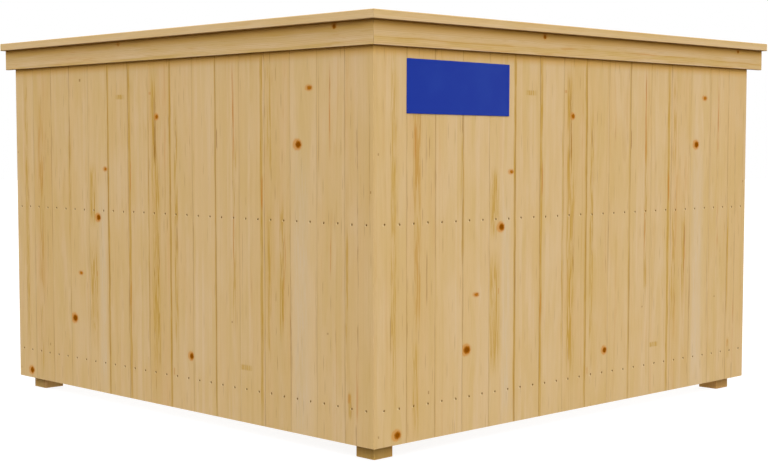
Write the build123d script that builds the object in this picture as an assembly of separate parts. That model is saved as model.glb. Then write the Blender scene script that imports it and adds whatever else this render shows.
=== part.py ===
from build123d import *
import os

# Corner of a solid-board cap and trim fence: two panels meet at a square corner.
# The origin is the centre of the corner post's foot, on the ground.
# The right panel runs along +X, the left panel along +Y, and both show their faces outwards.

# Pickets, in millimetres
picket_count = 16
picket_width = 151.9
picket_gap = 0.5
picket_thickness = 15.9
picket_length = 1545.3
picket_arris = 1.0
ground_gap = 55.2

# Rails
rail_thickness = 38.1
rail_depth = 88.9
rail_arris = 3.0
bottom_rail_centre = 190.0
mid_rail_centre = 868.2

# Posts
post_size = 97.0
post_arris = 4.0
end_post_inset = 38.1

# Trim boards
trim_thickness = 19.0
trim_depth = 88.9
trim_arris = 2.0
left_trim_overrun = 55.0
right_trim_overrun = 96.4

# Cap boards
cap_thickness = 33.1
cap_overhang = 28.0
cap_arris = 3.0
mitre_joint = 0.4

# Heights above the ground
picket_top = ground_gap + picket_length
cap_top = picket_top + cap_thickness
trim_foot = picket_top - trim_depth
top_rail_centre = picket_top - rail_depth / 2
rail_centres = {
    "bottom_rail": bottom_rail_centre,
    "mid_rail": mid_rail_centre,
    "top_rail": top_rail_centre,
}

# Depths behind the outer face of the pickets, the same in both panels
rail_front = picket_thickness
post_front = rail_front + rail_thickness
post_back = post_front + post_size
trim_front = -trim_thickness
cap_front = trim_front - cap_overhang
cap_back = post_back + cap_overhang

# The outer arris where the two picket faces meet, seen from the corner post's centre
outer_corner = -(post_front + post_size / 2)
picket_pitch = picket_width + picket_gap
panel_run = picket_count * picket_pitch - picket_gap

# The plane through the corner in which trim and cap boards are mitred
mitre = Plane(origin=(0, 0, 0), z_dir=(1, -1, 0))


# A board that stands upright, its four long edges eased
def upright_board(start, end, front, back, foot, top, arris):
    middle = (outer_corner + (start + end) / 2, outer_corner + (front + back) / 2, foot)
    section = Location(middle) * RectangleRounded(end - start, back - front, arris)
    return extrude(section, top - foot)


# A board that lies along the panel, its four long edges eased
def level_board(start, end, front, back, foot, top, arris):
    middle = (outer_corner + start, outer_corner + (front + back) / 2, (foot + top) / 2)
    across = Plane(origin=middle, x_dir=(0, 1, 0), z_dir=(1, 0, 0))
    section = across * RectangleRounded(back - front, top - foot, arris)
    return extrude(section, end - start)


# A level board that runs through the corner, cut off there at the mitre
def mitred_board(end, front, back, foot, top, arris):
    through = level_board(front - mitre_joint, end, front, back, foot, top, arris)
    return split(through, bisect_by=mitre.offset(mitre_joint / 2), keep=Keep.TOP)


# One panel, laid out along +X from the outer corner
def panel(picket_start, rail_start, trim_overrun):
    pieces = {}
    panel_end = picket_start + panel_run
    for number in range(picket_count):
        start = picket_start + number * picket_pitch
        pieces[f"picket_{number + 1:02d}"] = upright_board(
            start, start + picket_width, 0, picket_thickness, ground_gap, picket_top, picket_arris
        )
    for name, centre in rail_centres.items():
        pieces[name] = level_board(
            rail_start, panel_end, rail_front, post_front,
            centre - rail_depth / 2, centre + rail_depth / 2, rail_arris
        )
    post_end = panel_end - end_post_inset
    pieces["end_post"] = upright_board(
        post_end - post_size, post_end, post_front, post_back, 0, picket_top, post_arris
    )
    trim_end = panel_end + trim_overrun
    pieces["trim"] = mitred_board(trim_end, trim_front, 0, trim_foot, picket_top, trim_arris)
    pieces["cap"] = mitred_board(trim_end, cap_front, cap_back, picket_top, cap_top, cap_arris)
    return pieces


# The left panel's first picket laps the edge of the right panel's first picket.
# Behind them the right rails run through to that picket, and the left rails butt against the right ones.
right_panel = panel(picket_thickness, rail_front, right_trim_overrun)
left_panel = panel(0, post_front, left_trim_overrun)

fence = {
    "corner_post": upright_board(
        post_front, post_back, post_front, post_back, 0, picket_top, post_arris
    )
}
for name, piece in right_panel.items():
    fence[f"right_{name}"] = piece
for name, piece in left_panel.items():
    fence[f"left_{name}"] = mirror(piece, about=mitre)

os.makedirs("parts", exist_ok=True)
for name, piece in fence.items():
    export_step(piece, f"parts/{name}.step")
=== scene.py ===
import math
import random

import bmesh
import bpy
from mathutils import Euler, Matrix, Vector


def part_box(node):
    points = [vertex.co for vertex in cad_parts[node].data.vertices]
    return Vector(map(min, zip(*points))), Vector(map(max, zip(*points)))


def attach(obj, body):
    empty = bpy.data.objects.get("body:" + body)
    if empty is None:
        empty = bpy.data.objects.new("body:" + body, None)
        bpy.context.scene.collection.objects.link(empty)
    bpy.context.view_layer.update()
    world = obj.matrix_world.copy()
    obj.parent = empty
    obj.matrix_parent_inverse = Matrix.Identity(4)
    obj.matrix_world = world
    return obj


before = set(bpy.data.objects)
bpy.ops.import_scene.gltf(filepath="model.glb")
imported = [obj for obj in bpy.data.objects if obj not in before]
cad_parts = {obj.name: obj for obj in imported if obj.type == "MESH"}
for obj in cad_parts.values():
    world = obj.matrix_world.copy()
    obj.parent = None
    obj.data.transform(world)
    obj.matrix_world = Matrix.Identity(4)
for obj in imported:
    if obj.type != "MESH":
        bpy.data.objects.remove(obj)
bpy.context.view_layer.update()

scene = bpy.context.scene
print("frame loaded:", len(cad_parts), "boards and posts")


# small helpers for node trees

def toLinear(level):
    level = level / 255
    return level / 12.92 if level <= 0.04045 else ((level + 0.055) / 1.055) ** 2.4


def tone(red, green, blue):  # a paint-chart colour, 0 to 255
    return (toLinear(red), toLinear(green), toLinear(blue), 1)


def wire(tree, socket, value):  # a link from another node, or a plain value
    if isinstance(value, bpy.types.NodeSocket):
        tree.links.new(value, socket)
    else:
        socket.default_value = value


def addNode(tree, kind, values=None, **settings):
    node = tree.nodes.new(kind)
    for name, value in settings.items():
        setattr(node, name, value)
    for name, value in (values or {}).items():
        wire(tree, node.inputs[name], value)
    return node


def calc(tree, operation, *values, clamp=False):
    node = addNode(tree, "ShaderNodeMath", dict(enumerate(values)), operation=operation, use_clamp=clamp)
    return node.outputs[0]


def times(tree, first, *others):  # masks and strengths multiplied one after another
    for other in others:
        first = calc(tree, "MULTIPLY", first, other)
    return first


def vectorCalc(tree, operation, *values):
    node = addNode(tree, "ShaderNodeVectorMath", dict(enumerate(values)), operation=operation)
    return node.outputs["Value" if operation in ("LENGTH", "DOT_PRODUCT") else "Vector"]


def axesOf(tree, vector):
    return addNode(tree, "ShaderNodeSeparateXYZ", {"Vector": vector}).outputs


def joinAxes(tree, x, y, z):
    return addNode(tree, "ShaderNodeCombineXYZ", {"X": x, "Y": y, "Z": z}).outputs["Vector"]


def channels(tree, colour):
    return addNode(tree, "ShaderNodeSeparateColor", {"Color": colour}).outputs


def fade(tree, value, low, high, first=0.0, last=1.0):  # smooth step between two levels
    values = {"Value": value, "From Min": low, "From Max": high, "To Min": first, "To Max": last}
    return addNode(tree, "ShaderNodeMapRange", values, interpolation_type="SMOOTHSTEP").outputs["Result"]


def hump(tree, value, rise, full, fall, end):  # up and down again
    return times(tree, fade(tree, value, rise, full), fade(tree, value, fall, end, 1.0, 0.0))


def blendColour(tree, amount, first, second, mode="MIX"):
    values = {0: amount, 6: first, 7: second}  # the colour mix's own three sockets
    return addNode(tree, "ShaderNodeMix", values, data_type="RGBA", blend_type=mode).outputs[2]


def grainNoise(tree, place, stretch, seed, detail=2.0, roughness=0.5):  # noise drawn out along the board
    stretched = vectorCalc(tree, "MULTIPLY", place, stretch)
    values = {"Vector": stretched, "W": seed, "Scale": 1.0, "Detail": detail, "Roughness": roughness}
    return addNode(tree, "ShaderNodeTexNoise", values, noise_dimensions="4D").outputs


def lineNoise(tree, value):  # noise along one line
    values = {"W": value, "Scale": 1.0, "Detail": 1.0}
    return addNode(tree, "ShaderNodeTexNoise", values, noise_dimensions="1D").outputs["Fac"]


def plainNoise(tree, place, scale, detail):
    values = {"Vector": place, "Scale": scale, "Detail": detail}
    return addNode(tree, "ShaderNodeTexNoise", values).outputs["Fac"]


def swing(tree, noise, reach):  # a noise colour as a push to either side
    return vectorCalc(tree, "MULTIPLY", vectorCalc(tree, "SUBTRACT", noise, (0.5, 0.5, 0.5)), reach)


def shadeBy(tree, noise, depth):  # a little lighter and darker than 1
    return calc(tree, "MULTIPLY_ADD", calc(tree, "SUBTRACT", noise, 0.5), depth, 1.0)


def bumpNormal(tree, height, strength, depth):
    values = {"Height": height, "Strength": strength, "Distance": depth}
    return addNode(tree, "ShaderNodeBump", values).outputs["Normal"]


def newGroup(name, inputs, masks, colours=()):
    tree = bpy.data.node_groups.new(name, "ShaderNodeTree")
    for label, value in inputs.items():
        kind = "NodeSocketVector" if isinstance(value, tuple) else "NodeSocketFloat"
        tree.interface.new_socket(label, in_out="INPUT", socket_type=kind).default_value = value
    for label in colours:
        tree.interface.new_socket(label, in_out="OUTPUT", socket_type="NodeSocketColor")
    for label in masks:
        tree.interface.new_socket(label, in_out="OUTPUT", socket_type="NodeSocketFloat")
    return tree, tree.nodes.new("NodeGroupInput").outputs


def finishGroup(tree, results):
    ends = tree.nodes.new("NodeGroupOutput").inputs
    for label, value in results.items():
        tree.links.new(value, ends[label])
    return tree


def placeGroup(tree, group, values):
    return addNode(tree, "ShaderNodeGroup", values, node_tree=group).outputs


def newMaterial(name):
    material = bpy.data.materials.new(name)
    material.use_nodes = True
    material.node_tree.nodes.clear()
    return material, material.node_tree


def finishShader(tree, shader, end="ShaderNodeOutputMaterial"):
    tree.links.new(shader, tree.nodes.new(end).inputs["Surface"])


# sawn pine: growth rings round a pith outside the board, fibres, amber streaks, flecks
# Place has the width in x, the thickness in y and the length of the board in z, in metres

pine = {
    "pale": tone(211, 180, 130),
    "cream": tone(216, 190, 154),
    "olive": tone(203, 171, 108),
    "gold": tone(190, 148, 70),
    "orange": tone(198, 142, 72),
    "amber": tone(188, 147, 58),
    "rust": tone(190, 122, 46),
    "pitch": tone(138, 88, 26),
    "bleached": tone(208, 186, 154),
    "knotRim": tone(204, 138, 56),
    "knotHeart": tone(170, 104, 24),
    "knotCore": tone(134, 72, 6),
    "nailBloom": tone(120, 84, 18),
    # painted highlight beside each nail
    "nailHighlight": tone(234, 212, 168),
    # painted shade along the joints between boards
    "seamShade": tone(146, 106, 40),
    # painted shade under a covering board
    "paintedShade": tone(211, 163, 80),
    # how many times a metre each pattern changes, in width, thickness and length
    "drift": (3, 3, 0.9),
    "sway": (9, 9, 3.5),
    "cloud": (13, 13, 2.8),
    "faint": (22, 22, 4.4),
    "broken": (30, 30, 5.5),
    "fleckCell": (30, 30, 4.0),
    # how the painted shade along the joints comes and goes
    "jointShadeNoise": (20, 20, 5),
    "fineBand": (105, 105, 8.0),
    "thread": (300, 300, 12),
    "fibre": (1100, 1100, 28),
    "sawLine": 260,
    # sizes in metres
    "driftReach": (0.022, 0.03, 0),
    "ringWidth": 0.0046,
    "bandWidth": 0.0155,
    "fleckWidth": 0.0028,
    "fleckLength": 0.042,
    # where one year's late wood, one band and the resin in it rise and fall
    "lateWood": (0.25, 0.86, 0.90, 1.0),
    "bandSides": (0.0, 0.12, 0.88, 1.0),
    "resinSides": (0.55, 0.78, 0.90, 0.98),
    # levels of noise between which a pattern shows, then the weakest and the strongest it gets
    "resinChance": (0.45, 0.90),
    "resinBreaks": (0.40, 0.56, 0.10, 1.0),
    "bandChance": (0.45, 0.95),
    "bandBreaks": (0.38, 0.60, 0.15, 1.0),
    "cloudShows": (0.42, 0.66),
    "orangeShows": (0.46, 0.62),
    "fineShows": (0.56, 0.68),
    "fleckChance": (0.54, 0.62),
    "fleckSides": (0.35, 1.0, 1.0, 0.0),
    "heartShows": (0.0, 0.6),
    "coreShows": (0.55, 1.0),
    "jointWidth": (0.35, 0.65, 0.0012, 0.0072),  # metres
    # where the painted shade under a covering board fades, in metres, and its strengths
    "shadeFalloff": (0.006, 0.045, 0.85, 0.0),  # metres below the board that covers it, strengths
    # strengths
    "yearPace": 0.23,
    "yearSpread": 2.6,
    "bandSpread": 1.4,
    "bandSway": 0.8,
    "bandStep": 1.37,
    "creamCloud": 0.28,
    "oliveCloud": 0.35,
    "warmStep": 0.22,
    "coolStep": 0.9,
    "resinLeast": 0.05,
    "resinDepth": 0.9,
    "fineDepth": 0.7,
    "lineDepth": 0.9,
    "fleckDepth": 0.8,
    "fibreShade": 0.11,
    "threadShade": 0.06,
    "roughLeast": 0.54,
    "roughFibre": 0.20,
    "knotGloss": 0.22,
    "gloss": 0.0,
    "bump": 0.25,
    "bumpDepth": 0.0006,
    "relief": {"fibre": 0.55, "thread": 0.6, "lateWood": 0.35, "saw": 1.0, "fleck": -0.8, "knot": 0.9},
}


def makePineGrain():
    inputs = {
        "Place": (0, 0, 0), "Seed": 0.0, "Pith": (0, 0.09, 0), "Half Width": 0.076,
        "Warmth": 0.0, "Streaks": 0.5, "Flecks": 0.3,
        "Ring Contrast": 0.2, "Band Contrast": 0.4, "Saw Marks": 0.0,
        "Left Edge": 0.0, "Right Edge": 0.0, "Bend": 0.0,
        "Pale Line": 0.0, "Amber Line": 0.0, "Rust Line": 0.0, "Pitch Line": 0.0,
        "Knot Heart": 0.0, "Knot Rim": 0.0, "Stain": 0.0, "Lip Highlight": 0.0, "Shade Under Cover": 0.0,
    }
    tree, given = newGroup("pineGrain", inputs, ("Roughness", "Height"), ("Colour",))
    place, seed = given["Place"], given["Seed"]
    axes = axesOf(tree, place)

    # how far each point is from a pith that wanders along the board
    drift = swing(tree, grainNoise(tree, place, pine["drift"], seed, 1.0)["Color"], pine["driftReach"])
    parted = joinAxes(tree, given["Bend"], 0.0, 0.0)
    flowing = vectorCalc(tree, "ADD", vectorCalc(tree, "ADD", place, drift), parted)
    fromPith = vectorCalc(tree, "SUBTRACT", flowing, given["Pith"])
    radius = vectorCalc(tree, "LENGTH", vectorCalc(tree, "MULTIPLY", fromPith, (1, 1, 0)))

    # wide and narrow years
    turns = calc(tree, "DIVIDE", radius, pine["ringWidth"])
    slow = lineNoise(tree, times(tree, turns, pine["yearPace"]))
    turns = calc(tree, "ADD", turns, times(tree, slow, pine["yearSpread"]))
    lateWood = hump(tree, calc(tree, "FRACT", turns), *pine["lateWood"])

    # several years grow into one band of tone, some with resin on one side
    sway = grainNoise(tree, place, pine["sway"], seed)["Fac"]
    wander = calc(tree, "MULTIPLY_ADD", slow, pine["bandSpread"], times(tree, sway, pine["bandSway"]))
    bandTurns = calc(tree, "ADD", calc(tree, "DIVIDE", radius, pine["bandWidth"]), wander)
    bandKey = calc(tree, "MULTIPLY_ADD", calc(tree, "FLOOR", bandTurns), pine["bandStep"], seed)
    bandLuck = addNode(tree, "ShaderNodeTexWhiteNoise", {"W": bandKey}, noise_dimensions="1D")
    luck = channels(tree, bandLuck.outputs["Color"])
    bandPhase = calc(tree, "FRACT", bandTurns)
    bandSides = hump(tree, bandPhase, *pine["bandSides"])
    broken = grainNoise(tree, place, pine["broken"], seed)["Fac"]
    resin = hump(tree, bandPhase, *pine["resinSides"])
    resin = times(tree, resin, fade(tree, luck["Red"], *pine["resinChance"]))
    resin = times(tree, resin, fade(tree, broken, *pine["resinBreaks"]))
    resin = calc(tree, "MULTIPLY", resin, calc(tree, "ADD", given["Streaks"], pine["resinLeast"]), clamp=True)
    faints = channels(tree, grainNoise(tree, place, pine["faint"], seed)["Color"])

    fibre = grainNoise(tree, place, pine["fibre"], seed, 3.0)["Fac"]
    thread = grainNoise(tree, place, pine["thread"], seed)["Fac"]
    fineBand = grainNoise(tree, place, pine["fineBand"], seed, 3.0, 0.6)["Fac"]
    clouds = channels(tree, grainNoise(tree, place, pine["cloud"], seed)["Color"])

    # one possible fleck in each long cell
    cell = vectorCalc(tree, "MULTIPLY", place, pine["fleckCell"])
    cells = addNode(tree, "ShaderNodeTexVoronoi", {"Vector": cell, "W": seed, "Scale": 1.0},
                    voronoi_dimensions="4D").outputs
    cellAcross, cellAlong = 1 / pine["fleckCell"][0], 1 / pine["fleckCell"][2]
    fleckScale = (cellAcross / pine["fleckWidth"], 0, cellAlong / pine["fleckLength"])
    away = vectorCalc(tree, "SUBTRACT", cell, cells["Position"])
    away = vectorCalc(tree, "LENGTH", vectorCalc(tree, "MULTIPLY", away, fleckScale))
    chosen = fade(tree, channels(tree, cells["Color"])["Red"], *pine["fleckChance"])
    fleck = times(tree, fade(tree, away, *pine["fleckSides"]), chosen, given["Flecks"])
    fleck = calc(tree, "MAXIMUM", fleck, given["Pitch Line"])

    # broad clouds, then pale and dark bands, then what is more amber
    colour = pine["pale"]
    for channel, strength, shade in (("Red", "creamCloud", "cream"), ("Green", "oliveCloud", "olive")):
        amount = times(tree, fade(tree, clouds[channel], *pine["cloudShows"]), pine[strength])
        colour = blendColour(tree, amount, colour, pine[shade])
    for chance, breaks, shade in (("Green", "Red", "cream"), ("Blue", "Green", "olive")):
        band = times(tree, fade(tree, luck[chance], *pine["bandChance"]), bandSides, given["Band Contrast"])
        band = times(tree, band, fade(tree, faints[breaks], *pine["bandBreaks"]))
        colour = blendColour(tree, band, colour, pine[shade])
    gold = blendColour(tree, fade(tree, clouds["Blue"], *pine["orangeShows"]), pine["gold"], pine["orange"])
    warm = calc(tree, "MULTIPLY", given["Warmth"], pine["warmStep"], clamp=True)
    cool = calc(tree, "MULTIPLY", given["Warmth"], -pine["coolStep"], clamp=True)
    colour = blendColour(tree, warm, colour, gold)
    colour = blendColour(tree, cool, colour, pine["cream"])
    colour = blendColour(tree, times(tree, lateWood, given["Ring Contrast"]), colour, pine["gold"])
    colour = blendColour(tree, times(tree, resin, pine["resinDepth"]), colour, gold)
    fine = times(tree, fade(tree, fineBand, *pine["fineShows"]), given["Streaks"], pine["fineDepth"])
    colour = blendColour(tree, fine, colour, gold)
    for label, stain in (("Pale Line", "bleached"), ("Amber Line", "amber"), ("Rust Line", "rust")):
        colour = blendColour(tree, times(tree, given[label], pine["lineDepth"]), colour, pine[stain])
    # painted shade close under the cap and the trim
    colour = blendColour(tree, given["Shade Under Cover"], colour, pine["paintedShade"])
    shade = times(tree, shadeBy(tree, fibre, pine["fibreShade"]), shadeBy(tree, thread, pine["threadShade"]))
    grey = addNode(tree, "ShaderNodeCombineColor", {"Red": shade, "Green": shade, "Blue": shade})
    colour = blendColour(tree, 1.0, colour, grey.outputs["Color"], "MULTIPLY")
    colour = blendColour(tree, times(tree, fleck, pine["fleckDepth"]), colour, pine["pitch"])
    colour = blendColour(tree, given["Knot Rim"], colour, pine["knotRim"])
    core = fade(tree, given["Knot Heart"], *pine["coreShows"])
    heart = blendColour(tree, core, pine["knotHeart"], pine["knotCore"])
    colour = blendColour(tree, fade(tree, given["Knot Heart"], *pine["heartShows"]), colour, heart)
    # the painted highlight beside each nail
    colour = blendColour(tree, given["Lip Highlight"], colour, pine["nailHighlight"])
    colour = blendColour(tree, given["Stain"], colour, pine["nailBloom"])

    # painted shade: a darker line along each joint between boards, which comes and goes
    fromEdge = calc(tree, "SUBTRACT", given["Half Width"], calc(tree, "ABSOLUTE", axes["X"]))
    jointVary = grainNoise(tree, place, pine["jointShadeNoise"], seed, 3.0)["Fac"]
    jointWidth = fade(tree, jointVary, *pine["jointWidth"])
    joint = calc(tree, "SUBTRACT", 1.0, calc(tree, "DIVIDE", fromEdge, jointWidth), clamp=True)
    onRight = calc(tree, "GREATER_THAN", axes["X"], 0.0)
    edges = {"Factor": onRight, "A": given["Left Edge"], "B": given["Right Edge"]}
    joint = times(tree, joint, addNode(tree, "ShaderNodeMix", edges).outputs["Result"])
    # the painted shade along the joint
    colour = blendColour(tree, joint, colour, pine["seamShade"])

    sawWave = lineNoise(tree, times(tree, axes["Z"], pine["sawLine"]))  # the band saw's lines across the face
    sawCut = times(tree, calc(tree, "SUBTRACT", sawWave, 0.5), given["Saw Marks"])
    rough = calc(tree, "MULTIPLY_ADD", fibre, pine["roughFibre"], pine["roughLeast"])
    rough = calc(tree, "SUBTRACT", rough, times(tree, given["Knot Heart"], pine["knotGloss"]))
    height = 0.0
    raised = {"fibre": fibre, "thread": thread, "lateWood": lateWood, "saw": sawCut, "fleck": fleck,
              "knot": given["Knot Heart"]}
    for name, mask in raised.items():
        height = calc(tree, "MULTIPLY_ADD", mask, pine["relief"][name], height)
    return finishGroup(tree, {"Colour": colour, "Roughness": rough, "Height": height})


# a knot: dark heart, orange rim, and grain that swerves round it

knotShape = {
    "ragged": (120, 120, 120),
    "raggedReach": (0.010, 0, 0.010),
    "lopsided": 0.3,  # the heart sits off the middle
    "heartEdge": (0.30, 1.05, 1.0, 0.0),
    "rimEdge": (0.90, 1.50, 0.7, 0.0),
    "partedReach": (0.42, 0, 0.22),
    "parting": -0.75,  # the grain parts on both sides
}


def makePineKnot():
    inputs = {"Place": (0, 0, 0), "Centre": (0, 0, 0), "Size": 0.01, "Wide": 1.0, "Heart": 1.0, "Seed": 0.0}
    tree, given = newGroup("pineKnot", inputs, ("Knot Heart", "Knot Rim", "Bend"))
    place, width = given["Place"], given["Size"]
    ragged = grainNoise(tree, place, knotShape["ragged"], given["Seed"], 3.0)["Color"]
    ragged = swing(tree, ragged, knotShape["raggedReach"])
    away = vectorCalc(tree, "SUBTRACT", vectorCalc(tree, "ADD", place, ragged), given["Centre"])
    flat = vectorCalc(tree, "MULTIPLY", away, (1, 0, 1))
    size = joinAxes(tree, times(tree, width, given["Wide"]), 1.0, width)  # wide where cut on the slant
    steps = vectorCalc(tree, "LENGTH", vectorCalc(tree, "DIVIDE", flat, size))
    aside = joinAxes(tree, times(tree, width, knotShape["lopsided"]), 0.0, 0.0)
    inner = vectorCalc(tree, "DIVIDE", vectorCalc(tree, "SUBTRACT", flat, aside), size)
    inner = vectorCalc(tree, "LENGTH", inner)
    heart = times(tree, fade(tree, inner, *knotShape["heartEdge"]), given["Heart"])
    rim = times(tree, fade(tree, steps, *knotShape["rimEdge"]), calc(tree, "SQRT", given["Heart"]))
    parted = vectorCalc(tree, "DIVIDE", vectorCalc(tree, "MULTIPLY", flat, knotShape["partedReach"]), size)
    spread = calc(tree, "EXPONENT", times(tree, vectorCalc(tree, "DOT_PRODUCT", parted, parted), -1.0))
    bend = times(tree, spread, axesOf(tree, away)["X"], knotShape["parting"])
    return finishGroup(tree, {"Knot Heart": heart, "Knot Rim": rim, "Bend": bend})


# one long line of colour, soft at both ends: a solid stripe, or a cluster of fine streaks

lineShape = {
    "sway": (0, 0, 6),
    "swayReach": 0.012,
    "streaks": (230, 0, 7.5),
    "streakShows": (0.46, 0.55, 0.10, 1.0),
    "sides": (0.35, 1.0, 1.0, 0.0),
    "ends": (0.5, 1.0, 1.0, 0.0),
}


def makeResinLine():
    inputs = {"Place": (0, 0, 0), "Centre": (0, 0, 0), "Width": 0.005, "Length": 0.1, "Strength": 0.5,
              "Solid": 0.0, "Seed": 0.0}
    tree, given = newGroup("resinLine", inputs, ("Line",))
    place, seed = given["Place"], given["Seed"]
    parts = axesOf(tree, vectorCalc(tree, "SUBTRACT", place, given["Centre"]))
    sway = calc(tree, "SUBTRACT", grainNoise(tree, place, lineShape["sway"], seed, 3.0)["Fac"], 0.5)
    across = calc(tree, "ADD", parts["X"], times(tree, sway, lineShape["swayReach"]))
    across = calc(tree, "DIVIDE", calc(tree, "ABSOLUTE", across), given["Width"])
    along = calc(tree, "DIVIDE", calc(tree, "ABSOLUTE", parts["Z"]), given["Length"])
    streaks = grainNoise(tree, place, lineShape["streaks"], seed, 3.0)["Fac"]
    filled = calc(tree, "MAXIMUM", fade(tree, streaks, *lineShape["streakShows"]), given["Solid"])
    line = times(tree, fade(tree, across, *lineShape["sides"]), fade(tree, along, *lineShape["ends"]))
    return finishGroup(tree, {"Line": times(tree, line, filled, given["Strength"])})


# dark bloom in the wood round each nail of a pair, and beside it a painted highlight: a pale lip where
# crushed fibre would catch the light

bloomShape = {
    "reach": 0.0058,
    # aside of the nail, above it, where the mark begins to fade, strength
    "Stain": (0.0, 0.0, 0.45, 0.65),
    # the pale spot beside the nail is a painted highlight
    "Lip Highlight": (-0.0055, -0.0025, 0.3, 0.5),
}


def makeNailBloom():
    inputs = {"Place": (0, 0, 0), "Apart": 0.0381, "Low Row": 0.0, "High Row": 0.0}
    tree, given = newGroup("nailBloom", inputs, ("Stain", "Lip Highlight"))
    parts = axesOf(tree, given["Place"])
    masks = {}
    for label in ("Stain", "Lip Highlight"):
        aside, above, inner, strength = bloomShape[label]
        nailSide = calc(tree, "MULTIPLY_ADD", calc(tree, "SIGN", parts["X"]), given["Apart"], aside)
        across = calc(tree, "SUBTRACT", parts["X"], nailSide)
        gaps = []
        for row in ("Low Row", "High Row"):
            gap = calc(tree, "SUBTRACT", calc(tree, "SUBTRACT", parts["Z"], given[row]), above)
            gaps.append(calc(tree, "ABSOLUTE", gap))
        along = calc(tree, "MINIMUM", *gaps)
        away = calc(tree, "ADD", times(tree, across, across), times(tree, along, along))
        away = calc(tree, "DIVIDE", calc(tree, "SQRT", away), bloomShape["reach"])
        masks[label] = fade(tree, away, inner, 1.0, strength, 0.0)
    return finishGroup(tree, masks)


pineGrain = makePineGrain()
pineKnot = makePineKnot()
resinLine = makeResinLine()
nailBloom = makeNailBloom()
print("wood groups made")


def boardPlace(tree, centre, turn):  # width, thickness and length of the board from its own middle
    place = tree.nodes.new("ShaderNodeTexCoord").outputs["Object"]
    turn = tuple(math.radians(angle) for angle in turn)
    return addNode(tree, "ShaderNodeMapping", {"Vector": place, "Location": centre, "Rotation": turn},
                   vector_type="TEXTURE").outputs["Vector"]


def gather(tree, values, label, mask, operation="MAXIMUM"):  # several marks of one kind become one mask
    values[label] = calc(tree, operation, values[label], mask) if label in values else mask


def makeBoard(name, centre, turn, grain, knots=(), lines=None, nailRows=None, shadeCover=None, bump=pine["bump"]):
    material, tree = newMaterial(name + "Pine")
    place = boardPlace(tree, centre, turn)
    values = dict(grain, Place=place)
    for knot in knots:
        found = placeGroup(tree, pineKnot, {"Place": place, "Seed": grain["Seed"], **knot})
        gather(tree, values, "Knot Heart", found["Knot Heart"])
        gather(tree, values, "Knot Rim", found["Knot Rim"])
        gather(tree, values, "Bend", found["Bend"], "ADD")
    for label, marks in (lines or {}).items():
        for line in marks:
            found = placeGroup(tree, resinLine, {"Place": place, "Seed": grain["Seed"], **line})
            gather(tree, values, label, found["Line"])
    if nailRows:
        bloom = placeGroup(tree, nailBloom, {"Place": place, **nailRows})
        values["Stain"] = bloom["Stain"]
        # the pale lip is a painted highlight
        values["Lip Highlight"] = bloom["Lip Highlight"]
    if shadeCover:  # painted shade: wood close under a board that covers it is painted darker and more amber
        axis, edge, sign = shadeCover
        below = times(tree, calc(tree, "SUBTRACT", axesOf(tree, place)[axis], edge), sign)
        # the painted shade fades away below the covering board's edge
        values["Shade Under Cover"] = fade(tree, below, *pine["shadeFalloff"])
    wood = placeGroup(tree, pineGrain, values)
    shader = addNode(tree, "ShaderNodeBsdfPrincipled", {
        "Base Color": wood["Colour"], "Roughness": wood["Roughness"], "IOR": 1.45,
        "Specular IOR Level": pine["gloss"],
        "Normal": bumpNormal(tree, wood["Height"], bump, pine["bumpDepth"])})
    finishShader(tree, shader.outputs["BSDF"])
    return material


def middle(node):
    low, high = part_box(node)
    return tuple((a + b) / 2 for a, b in zip(low, high))


def dress(node, material):
    for slot in bpy.data.objects[node].material_slots:
        slot.material = material


# pickets, counted from the left end of each panel as it is seen from outside

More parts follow.
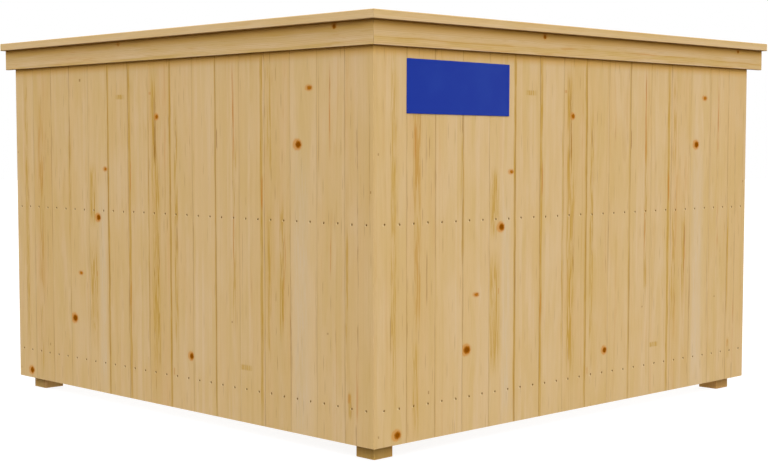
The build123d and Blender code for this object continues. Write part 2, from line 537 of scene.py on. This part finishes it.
pickets = {
    "count": 16,
    "pitch": middle("right_picket_02")[0] - middle("right_picket_01")[0],
    "markReach": 0.55,  # how far from a board's middle a mark may lie, in pitches
    "drawSeed": 7,
    "seedStep": 2.37,
    # what varies from board to board: lowest and highest
    "pithAcross": (-0.22, 0.22),
    "pithBehind": (0.10, 0.22),
    "warmthSpread": (-0.08, 0.08),
    "streaks": (0.08, 0.22),
    "rings": (0.04, 0.10),
    "warmStreaks": 0.3,
    "fleckShare": 0.9,
    "fleckLeast": 0.14,
    # how dark the painted shade line is at each joint, from the left end to the right
    "joints": (0, 0.35, 0.45, 0.5, 0.3, 0.5, 0.45, 0.25, 0.4, 0.25, 0.5, 0.2, 0.4, 0.25, 0.25, 0.35, 0),
    # how amber or how pale each board is
    "warmth": (0.1, 0.4, 0.1, 0.0, -0.1, 0.1, 0.1, 0.4, 0.2, 0.0, 0.1, 0.05, 0.35, -0.2, 0.1, 0.25),
    # along the panel, above the ground, size, heart, wide
    "knots": (
        (0.752, 1.051, 0.010, 0.65, 1.5), (0.692, 0.836, 0.018, 1.0, 1.1), (0.549, 0.580, 0.009, 0.6, 1.9),
        (0.492, 0.371, 0.020, 1.0, 1.25), (0.115, 0.091, 0.019, 0.9, 1.15), (1.137, 1.274, 0.013, 0.75, 1.1),
        (2.102, 1.369, 0.011, 0.65, 1.7), (2.036, 1.158, 0.019, 1.0, 1.15), (1.364, 0.285, 0.017, 1.0, 1.0)),
    # along the panel, above the ground, half width, half length, strength, solid
    "lines": {
        "Pale Line": ((0.725, 0.52, 0.036, 0.55, 0.7, 0.5), (2.055, 0.55, 0.060, 0.70, 0.65, 0.45)),
        "Amber Line": (
            (0.776, 0.80, 0.010, 1.10, 1.00, 0.6), (0.938, 0.80, 0.012, 1.10, 1.00, 0.6),
            (1.231, 0.80, 0.010, 1.10, 0.95, 0.55), (1.824, 0.80, 0.012, 1.10, 1.00, 0.6),
            (1.534, 0.80, 0.007, 1.10, 0.70, 0.6), (1.076, 0.80, 0.007, 0.70, 0.70, 0.5),
            (0.100, 0.85, 0.020, 0.80, 0.80, 0.0), (0.222, 1.12, 0.030, 0.30, 0.70, 0.3),
            (0.225, 0.70, 0.028, 0.30, 0.60, 0.25), (0.215, 0.25, 0.022, 0.22, 0.70, 0.1),
            (0.655, 0.93, 0.034, 0.16, 0.90, 0.0), (0.655, 0.50, 0.040, 0.28, 0.85, 0.0),
            (1.130, 0.65, 0.036, 0.55, 0.95, 0.1), (1.120, 1.20, 0.028, 0.30, 0.95, 0.1),
            (1.270, 0.80, 0.018, 0.65, 0.85, 0.0), (1.655, 0.85, 0.016, 0.50, 0.80, 0.0),
            (1.870, 1.25, 0.018, 0.25, 0.80, 0.1), (1.868, 0.60, 0.018, 0.35, 0.80, 0.1),
            (1.945, 0.68, 0.018, 0.32, 0.95, 0.0), (2.310, 0.62, 0.010, 0.30, 0.80, 0.3),
            (0.470, 0.95, 0.016, 0.30, 0.70, 0.0), (0.871, 1.363, 0.042, 0.013, 1.00, 0.15),
            (1.724, 0.276, 0.046, 0.014, 1.00, 0.25),
            (2.325, 0.20, 0.012, 0.06, 0.80, 0.3)),
        "Rust Line": (
            (0.225, 1.10, 0.024, 0.22, 0.25, 0.0), (0.225, 0.66, 0.022, 0.22, 0.22, 0.0),
            (1.960, 0.62, 0.010, 0.22, 0.45, 0.0), (2.365, 0.28, 0.008, 0.18, 0.50, 0.0),
            (1.650, 1.28, 0.006, 0.24, 0.80, 0.3), (1.650, 0.78, 0.005, 0.14, 0.70, 0.2),
            (2.218, 1.28, 0.006, 0.20, 0.80, 0.3), (2.222, 0.78, 0.006, 0.14, 0.60, 0.2),
            (1.826, 0.97, 0.007, 0.08, 0.90, 0.6), (0.212, 1.17, 0.010, 0.09, 0.55, 0.3),
            (0.945, 1.02, 0.006, 0.08, 0.60, 0.5), (0.938, 0.50, 0.006, 0.09, 0.60, 0.4),
            (2.322, 0.225, 0.010, 0.022, 0.55, 0.4), (0.680, 0.585, 0.004, 0.015, 0.70, 0.7),
            (1.248, 0.209, 0.006, 0.020, 0.60, 0.5), (1.092, 1.374, 0.012, 0.008, 0.60, 0.5)),
        "Pitch Line": (
            (2.367, 0.80, 0.004, 0.55, 0.55, 0.1), (2.157, 1.25, 0.003, 0.25, 0.50, 0.5),
            (1.996, 0.40, 0.003, 0.35, 0.50, 0.4), (1.385, 0.75, 0.003, 0.25, 0.40, 0.3),
            (1.705, 0.65, 0.003, 0.25, 0.40, 0.2), (2.430, 1.10, 0.003, 0.30, 0.40, 0.1),
            (1.128, 1.22, 0.013, 0.18, 0.60, 0.0), (0.288, 1.148, 0.003, 0.05, 0.75, 0.6),
            (0.251, 1.069, 0.003, 0.045, 0.65, 0.6), (0.251, 0.89, 0.003, 0.04, 0.50, 0.5),
            (0.469, 1.241, 0.003, 0.05, 0.70, 0.6), (2.359, 0.09, 0.004, 0.05, 0.70, 0.6),
            (0.024, 1.122, 0.005, 0.006, 0.60, 0.9), (0.024, 0.096, 0.005, 0.006, 0.65, 0.9),
            (0.286, 0.230, 0.005, 0.008, 0.70, 0.9), (2.434, 0.986, 0.005, 0.006, 0.75, 0.9),
            (0.558, 1.445, 0.009, 0.008, 0.80, 0.9),
            (0.268, 1.10, 0.005, 0.14, 0.45, 0.0), (0.275, 0.66, 0.005, 0.12, 0.50, 0.0),
            (1.122, 1.17, 0.005, 0.10, 0.90, 0.3), (1.150, 0.75, 0.005, 0.15, 0.60, 0.0),
            (1.275, 0.77, 0.004, 0.06, 0.70, 0.2), (1.272, 1.18, 0.004, 0.05, 0.70, 0.2),
            (1.545, 1.18, 0.004, 0.05, 0.80, 0.4), (0.085, 0.45, 0.004, 0.10, 0.50, 0.0),
            (2.360, 1.15, 0.004, 0.08, 0.60, 0.0), (2.140, 0.50, 0.004, 0.25, 0.40, 0.2),
            (2.000, 0.45, 0.004, 0.20, 0.50, 0.0), (1.955, 0.75, 0.004, 0.06, 0.60, 0.2),
            (0.780, 0.60, 0.003, 0.12, 0.60, 0.3), (1.637, 0.450, 0.006, 0.005, 0.60, 0.8),
            (2.204, 0.455, 0.007, 0.005, 0.60, 0.8)),
    },
}
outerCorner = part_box("left_picket_01")[0]  # where the two picket faces meet
leftEnd = outerCorner[1] + pickets["count"] * pickets["pitch"]
panels = {  # the panel's left end as it is seen from outside, and which way it runs from there
    "right": {"axis": 0, "sign": 1, "start": outerCorner[0], "turn": (0, 0, 0),
              "shift": 0.0, "warmth": 0.0, "seed": 10.0},
    # the left panel's warmth is painted shade: it is painted a little warmer and darker for the dimmer light
    # on its face
    "left": {"axis": 1, "sign": -1, "start": leftEnd, "turn": (0, 0, -90),
             "shift": -0.012, "warmth": 0.15, "seed": 60.0},
}
nailing = {  # two nails in every picket at each of these rails
    "apart": pickets["pitch"] / 4,
    "rows": {row: middle(f"right_{row}_rail")[2] for row in ("bottom", "mid")},
}


def onBoard(panel, along, height, centre):  # a point of the panel as a point of the board, if it is near it
    spot = panel["start"] + panel["sign"] * (along + panel["shift"])
    across = (spot - centre[panel["axis"]]) * panel["sign"]
    near = abs(across) < pickets["pitch"] * pickets["markReach"]
    return (across, 0.0, height - centre[2]) if near else None


def marksOn(panel, centre, marks, names):  # the marks of a list that lie on one board
    found = []
    for along, height, *sizes in marks:
        spot = onBoard(panel, along, height, centre)
        if spot:
            found.append({"Centre": spot, **dict(zip(names, sizes))})
    return found


def dressPickets():
    draw = random.Random(pickets["drawSeed"])
    for side, panel in panels.items():
        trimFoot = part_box(f"{side}_trim")[0][2]
        for column in range(pickets["count"]):
            number = column + 1 if side == "right" else pickets["count"] - column
            node = f"{side}_picket_{number:02d}"
            centre = middle(node)
            warmth = pickets["warmth"][column]
            pith = (draw.uniform(*pickets["pithAcross"]), draw.uniform(*pickets["pithBehind"]), 0)
            warmer = draw.uniform(*pickets["warmthSpread"])
            streaks = draw.uniform(*pickets["streaks"]) + max(0, warmth) * pickets["warmStreaks"]
            grain = {
                "Seed": panel["seed"] + column * pickets["seedStep"],
                "Pith": pith,
                "Warmth": warmth + panel["warmth"] + warmer,
                "Streaks": streaks,
                "Flecks": streaks * pickets["fleckShare"] + pickets["fleckLeast"],
                "Ring Contrast": draw.uniform(*pickets["rings"]),
                "Half Width": pickets["pitch"] / 2,
                "Left Edge": pickets["joints"][column],
                "Right Edge": pickets["joints"][column + 1],
            }
            knots = marksOn(panel, centre, pickets["knots"], ("Size", "Heart", "Wide"))
            lines = {label: marksOn(panel, centre, marks, ("Width", "Length", "Strength", "Solid"))
                     for label, marks in pickets["lines"].items()}
            nailRows = {"Apart": nailing["apart"], "Low Row": nailing["rows"]["bottom"] - centre[2],
                        "High Row": nailing["rows"]["mid"] - centre[2]}
            # painted shade on the pickets below the trim
            shadeUnderTrim = ("Z", trimFoot - centre[2], -1)
            dress(node, makeBoard(node, centre, panel["turn"], grain, knots, lines, nailRows, shadeUnderTrim))
    print("pickets dressed:", len(panels) * pickets["count"])


dressPickets()


# trim and cap boards are planed, rails are sawn; the grain goes along the run

runs = {
    "boards": {
        "trim": {"Pith": (0.14, 0.12, 0), "Warmth": 0.15, "Streaks": 0.5, "Flecks": 0.12,
                 "Ring Contrast": 0.3, "Band Contrast": 0.9, "Saw Marks": 0.0},
        "cap": {"Pith": (0.13, 0.02, 0), "Warmth": -0.1, "Streaks": 0.25, "Flecks": 0.1,
                "Ring Contrast": 0.14, "Band Contrast": 0.7, "Saw Marks": 0.0},
        "top_rail": {"Pith": (0.02, 0.06, 0), "Warmth": 0.35, "Streaks": 0.35, "Flecks": 0.4,
                     "Ring Contrast": 0.2, "Band Contrast": 0.6, "Saw Marks": 0.8},
        "mid_rail": {"Pith": (-0.03, -0.07, 0), "Warmth": 0.3, "Streaks": 0.4, "Flecks": 0.45,
                     "Ring Contrast": 0.2, "Band Contrast": 0.6, "Saw Marks": 0.8},
        "bottom_rail": {"Pith": (0.03, 0.08, 0), "Warmth": 0.4, "Streaks": 0.35, "Flecks": 0.4,
                        "Ring Contrast": 0.2, "Band Contrast": 0.6, "Saw Marks": 0.8},
    },
    "turns": {"left": (0, 90, -90), "right": (0, 90, 0)},
    "seeds": {"left": 123.1, "right": 120.0},
    "seedStep": 7.3,
    # along the run from the board's middle, up the face, size, heart
    "knots": {
        "left_trim": ((1.050, 0.034, 0.012, 0.8), (-0.322, 0.033, 0.010, 0.3)),
        "right_trim": ((-0.333, 0.033, 0.012, 0.8), (1.078, 0.036, 0.010, 0.7)),
        "left_top_rail": ((0.4, 0.01, 0.010, 0.9),),
        "right_mid_rail": ((-0.5, -0.015, 0.011, 0.9), (0.62, 0.01, 0.009, 0.8)),
        "left_bottom_rail": ((0.55, 0.02, 0.010, 0.9),),
        "right_bottom_rail": ((-0.2, 0.0, 0.011, 0.9),),
    },
}


def dressRuns():
    for place, (board, style) in enumerate(runs["boards"].items()):
        for side, turn in runs["turns"].items():
            node = f"{side}_{board}"
            grain = dict(style, Seed=runs["seeds"][side] + place * runs["seedStep"])
            knots = [{"Centre": (-up, 0, along), "Size": size, "Heart": heart}
                     for along, up, size, heart in runs["knots"].get(node, ())]
            low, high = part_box(node)
            # painted shade on the trim below the cap
            shadeUnderCap = ("X", (low[2] - high[2]) / 2, 1) if board == "trim" else None
            dress(node, makeBoard(node, middle(node), turn, grain, knots, shadeCover=shadeUnderCap))
    print("trim, cap and rails dressed:", len(runs["boards"]) * len(runs["turns"]))


dressRuns()


# posts: square sawn, the pith just off the middle

posts = {
    "grain": {"Streaks": 0.3, "Ring Contrast": 0.3, "Saw Marks": 0.9},
    "bump": 0.35,
    "heart": 0.9,
    "seed": 200.0,
    "seedStep": 5.7,
    # pith, warmth, and knots: across, above the middle, size
    "pieces": {
        # the posts' warmth is partly their own tone and partly painted shade: the corner post is painted
        # darkest, for the shadow on its foot under the two panels
        "corner_post": ((0.012, -0.008, 0), 3.6, ((0.01, 0.62, 0.012),)),
        "left_end_post": ((-0.015, 0.012, 0), 2.4, ((-0.015, -0.2, 0.012), (0.02, 0.45, 0.010))),
        "right_end_post": ((0.02, 0.01, 0), 3.0, ((0.01, 0.3, 0.012), (-0.02, -0.45, 0.010))),
    },
}


def dressPosts():
    for place, (node, (pith, warmth, marks)) in enumerate(posts["pieces"].items()):
        grain = dict(posts["grain"], Seed=posts["seed"] + place * posts["seedStep"], Pith=pith, Warmth=warmth)
        knots = [{"Centre": (across, 0, up), "Size": size, "Heart": posts["heart"]}
                 for across, up, size in marks]
        dress(node, makeBoard(node, middle(node), (0, 0, 0), grain, knots, bump=posts["bump"]))
    print("posts dressed:", len(posts["pieces"]))


dressPosts()


def newObject(mesh, name, material):
    data = bpy.data.meshes.new(name)
    mesh.to_mesh(data)
    mesh.free()
    data.materials.append(material)
    piece = bpy.data.objects.new(name, data)
    scene.collection.objects.link(piece)
    return piece


def finishPiece(mesh, name, material):
    piece = newObject(mesh, name, material)
    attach(piece, "root")


# nails: flat heads just proud of the pickets, dulled and browned

nails = {
    "headRadius": 0.0031,
    "headProud": 0.0006,
    "headSides": 10,
    "rim": 0.0004,
    "rimSteps": 2,
    "shankRadius": 0.0014,
    "shankLength": 0.042,
    "shankSides": 6,
    "tip": 0.3,  # of the shank's radius
    "jitter": 0.0028,
    "drawSeed": 31,
    "dull": tone(110, 78, 14),
    "rusty": tone(100, 64, 6),
    "speckScale": 420.0,
    "rowScale": 9.0,
    "rustShare": 0.6,
    "rustShows": (0.45, 0.75),
    "metal": (0.15, 0.03),  # dull, rusty
    "rough": (0.5, 0.75),
    "gloss": 0.05,
    "bump": 0.3,
    "bumpDepth": 0.0003,
}


def makeNailMaterial():
    material, tree = newMaterial("dullNail")
    place = tree.nodes.new("ShaderNodeTexCoord").outputs["Object"]
    speck = plainNoise(tree, place, nails["speckScale"], 3.0)
    row = plainNoise(tree, place, nails["rowScale"], 1.0)
    rust = calc(tree, "MULTIPLY_ADD", row, nails["rustShare"], times(tree, speck, nails["rustShare"]))
    rust = fade(tree, rust, *nails["rustShows"])
    levels = {}
    for name in ("metal", "rough"):
        dull, rusty = nails[name]
        levels[name] = calc(tree, "MULTIPLY_ADD", rust, rusty - dull, dull)
    shader = addNode(tree, "ShaderNodeBsdfPrincipled", {
        "Base Color": blendColour(tree, rust, nails["dull"], nails["rusty"]), "Metallic": levels["metal"],
        "Roughness": levels["rough"], "Specular IOR Level": nails["gloss"],
        "Normal": bumpNormal(tree, speck, nails["bump"], nails["bumpDepth"])})
    finishShader(tree, shader.outputs["BSDF"])
    return material


def driveNail(mesh, spot, outwards):
    turn = Matrix.Translation(spot) @ outwards.to_track_quat("Z", "Y").to_matrix().to_4x4()
    head = bmesh.ops.create_cone(mesh, cap_ends=True, segments=nails["headSides"],
                                 radius1=nails["headRadius"], radius2=nails["headRadius"],
                                 depth=nails["headProud"] * 2, matrix=turn)["verts"]
    rim = [edge for vert in head for edge in vert.link_edges
           if all((end.co - spot).dot(outwards) > 0 for end in edge.verts)]
    bmesh.ops.bevel(mesh, geom=list(dict.fromkeys(rim)), offset=nails["rim"], affect="EDGES",
                    segments=nails["rimSteps"], profile=0.5, material=-1)
    bmesh.ops.create_cone(mesh, cap_ends=True, segments=nails["shankSides"],
                          radius1=nails["shankRadius"] * nails["tip"], radius2=nails["shankRadius"],
                          depth=nails["shankLength"],
                          matrix=turn @ Matrix.Translation((0, 0, -nails["shankLength"] / 2)))


def makeNails():
    material = makeNailMaterial()
    draw = random.Random(nails["drawSeed"])
    driven = 0
    for side, panel in panels.items():
        along, out = panel["axis"], 1 - panel["axis"]
        outwards = Vector((0, 0, 0))
        outwards[out] = -1
        for row, height in nailing["rows"].items():
            mesh = bmesh.new()
            for number in range(1, pickets["count"] + 1):
                node = f"{side}_picket_{number:02d}"
                for shift in (-nailing["apart"], nailing["apart"]):
                    spot = Vector(middle(node))
                    spot[along] += shift
                    spot[out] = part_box(node)[0][out]  # on the picket's face
                    spot.z = height
                    nudge = Vector((draw.uniform(-1, 1), draw.uniform(-1, 1), draw.uniform(-1, 1)))
                    nudge[out] = 0
                    driveNail(mesh, spot + nudge * nails["jitter"], outwards)
                    driven += 1
            finishPiece(mesh, f"{side}_{row}_nails", material)
    print("nails driven:", driven)


makeNails()


# a bare blue plate on the right panel, flat against the pickets

plate = {
    "left": 0.0639,
    "right": 0.6339,
    "bottom": 1.2695,
    "top": 1.4702,
    "thickness": 0.003,
    "tilt": 0.3,
    "cornerRadius": 0.003,
    "cornerSteps": 5,
    "edgeRound": 0.0006,
    "edgeSteps": 2,
    "blue": tone(12, 46, 148),
    "faded": tone(19, 52, 151),
    "fadedShows": (0.4, 0.7),
    "cloudScale": 7.0,
    "peelScale": 650.0,
    "roughLeast": 0.32,
    "roughCloud": 0.2,
    "gloss": 0.12,
    "bump": 0.06,
    "bumpDepth": 0.0004,
}


def makePlateMaterial():
    material, tree = newMaterial("bluePlate")
    place = tree.nodes.new("ShaderNodeTexCoord").outputs["Object"]
    cloud = plainNoise(tree, place, plate["cloudScale"], 3.0)
    peel = plainNoise(tree, place, plate["peelScale"], 1.0)
    colour = blendColour(tree, fade(tree, cloud, *plate["fadedShows"]), plate["blue"], plate["faded"])
    rough = calc(tree, "MULTIPLY_ADD", cloud, plate["roughCloud"], plate["roughLeast"])
    shader = addNode(tree, "ShaderNodeBsdfPrincipled", {
        "Base Color": colour, "Roughness": rough, "Specular IOR Level": plate["gloss"],
        "Normal": bumpNormal(tree, peel, plate["bump"], plate["bumpDepth"])})
    finishShader(tree, shader.outputs["BSDF"])
    return material


def makePlate():
    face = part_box("right_picket_01")[0][1]
    size = Vector((plate["right"] - plate["left"], plate["thickness"], plate["top"] - plate["bottom"]))
    centre = Vector(((plate["left"] + plate["right"]) / 2, face - plate["thickness"] / 2,
                     (plate["bottom"] + plate["top"]) / 2))
    mesh = bmesh.new()
    bmesh.ops.create_cube(mesh, size=1.0)
    bmesh.ops.scale(mesh, vec=size, verts=mesh.verts)
    corners = [edge for edge in mesh.edges if edge.verts[0].co.y * edge.verts[1].co.y < 0]  # front to back
    bmesh.ops.bevel(mesh, geom=corners, offset=plate["cornerRadius"], affect="EDGES",
                    segments=plate["cornerSteps"], profile=0.5, material=-1)
    front = [edge for edge in mesh.edges if all(vert.co.y < 0 for vert in edge.verts)]
    bmesh.ops.bevel(mesh, geom=front, offset=plate["edgeRound"], affect="EDGES",
                    segments=plate["edgeSteps"], profile=0.5, material=-1)
    bmesh.ops.rotate(mesh, verts=mesh.verts, matrix=Matrix.Rotation(math.radians(plate["tilt"]), 3, "Y"))
    bmesh.ops.translate(mesh, verts=mesh.verts, vec=centre)
    finishPiece(mesh, "sign_plate", makePlateMaterial())
    print("plate made")


makePlate()


# pale studio floor, white to the camera, with the fence's soft shadow

studio = {
    "white": (1, 1, 1, 1),
    "floorHalf": 40.0,
    "floorBounce": (0.05, 0.03, 0.008, 1),
    "floorPaper": (0.3, 0.3, 0.3, 1),
    "floorGlow": 0.80,
    "skyLevel": 0.825,
    # level, height above the horizon, direction it comes from counted from -x towards -y, spread
    "lamps": {
        "rightLight": (1.69, 25, 60, 56),
        "leftLight": (1.05, 44, 30, 60),
        "backRightLight": (0.9, 9, 178, 30),
        "backLeftLight": (0.9, 9, 272, 30),
    },
}


def seenDirectly(tree):  # by the camera, or in a reflection or through glass
    ray = tree.nodes.new("ShaderNodeLightPath").outputs
    mirrored = calc(tree, "MAXIMUM", ray["Is Glossy Ray"], ray["Is Transmission Ray"])
    return calc(tree, "MAXIMUM", ray["Is Camera Ray"], mirrored)


def makeFloor():
    material, tree = newMaterial("paleFloor")
    matt = addNode(tree, "ShaderNodeBsdfDiffuse", {"Color": studio["floorBounce"]}).outputs["BSDF"]
    paper = addNode(tree, "ShaderNodeBsdfDiffuse", {"Color": studio["floorPaper"]}).outputs["BSDF"]
    glow = addNode(tree, "ShaderNodeEmission", {"Color": studio["white"], "Strength": studio["floorGlow"]})
    pale = addNode(tree, "ShaderNodeAddShader", {0: paper, 1: glow.outputs["Emission"]}).outputs["Shader"]
    shown = addNode(tree, "ShaderNodeMixShader", {0: seenDirectly(tree), 1: matt, 2: pale}).outputs["Shader"]
    finishShader(tree, shown)
    mesh = bmesh.new()
    bmesh.ops.create_grid(mesh, x_segments=1, y_segments=1, size=studio["floorHalf"])
    floor = newObject(mesh, "floor", material)


def makeRoom():
    world = bpy.data.worlds.new("whiteRoom")
    scene.world = world
    world.use_nodes = True
    tree = world.node_tree
    tree.nodes.clear()
    level = calc(tree, "MULTIPLY_ADD", seenDirectly(tree), 1.0 - studio["skyLevel"], studio["skyLevel"])
    sky = addNode(tree, "ShaderNodeBackground", {"Color": studio["white"], "Strength": level})
    finishShader(tree, sky.outputs["Background"], "ShaderNodeOutputWorld")


def makeLamps():
    for name, (level, height, bearing, spread) in studio["lamps"].items():
        lamp = bpy.data.lights.new(name, "SUN")
        lamp.energy = level
        lamp.angle = math.radians(spread)
        light = bpy.data.objects.new(name, lamp)
        light.rotation_euler = Euler((math.radians(90 - height), 0, math.radians(bearing - 90)))
        scene.collection.objects.link(light)


makeFloor()
makeRoom()
makeLamps()
print("studio set")


# camera at the photograph's place

view = {
    "place": (-3.7553, -3.8719, 1.1544),
    "yaw": 45.593,
    "down": 3.939,
    "lens": 68.76,
    "sensor": 36,
    "shiftX": 0.00316,
    "shiftY": 0.01684,
    "clipEnd": 200,
}


def makeCamera():
    data = bpy.data.cameras.new("frontCamera")
    data.lens = view["lens"]
    data.sensor_width = view["sensor"]
    data.shift_x = view["shiftX"]
    data.shift_y = view["shiftY"]
    data.clip_end = view["clipEnd"]
    camera = bpy.data.objects.new("frontCamera", data)
    camera.location = view["place"]
    camera.rotation_euler = Euler((math.radians(90 - view["down"]), 0, math.radians(view["yaw"] - 90)))
    scene.collection.objects.link(camera)
    scene.camera = camera
    print("camera set")


makeCamera()

scene.view_settings.view_transform = "Standard"
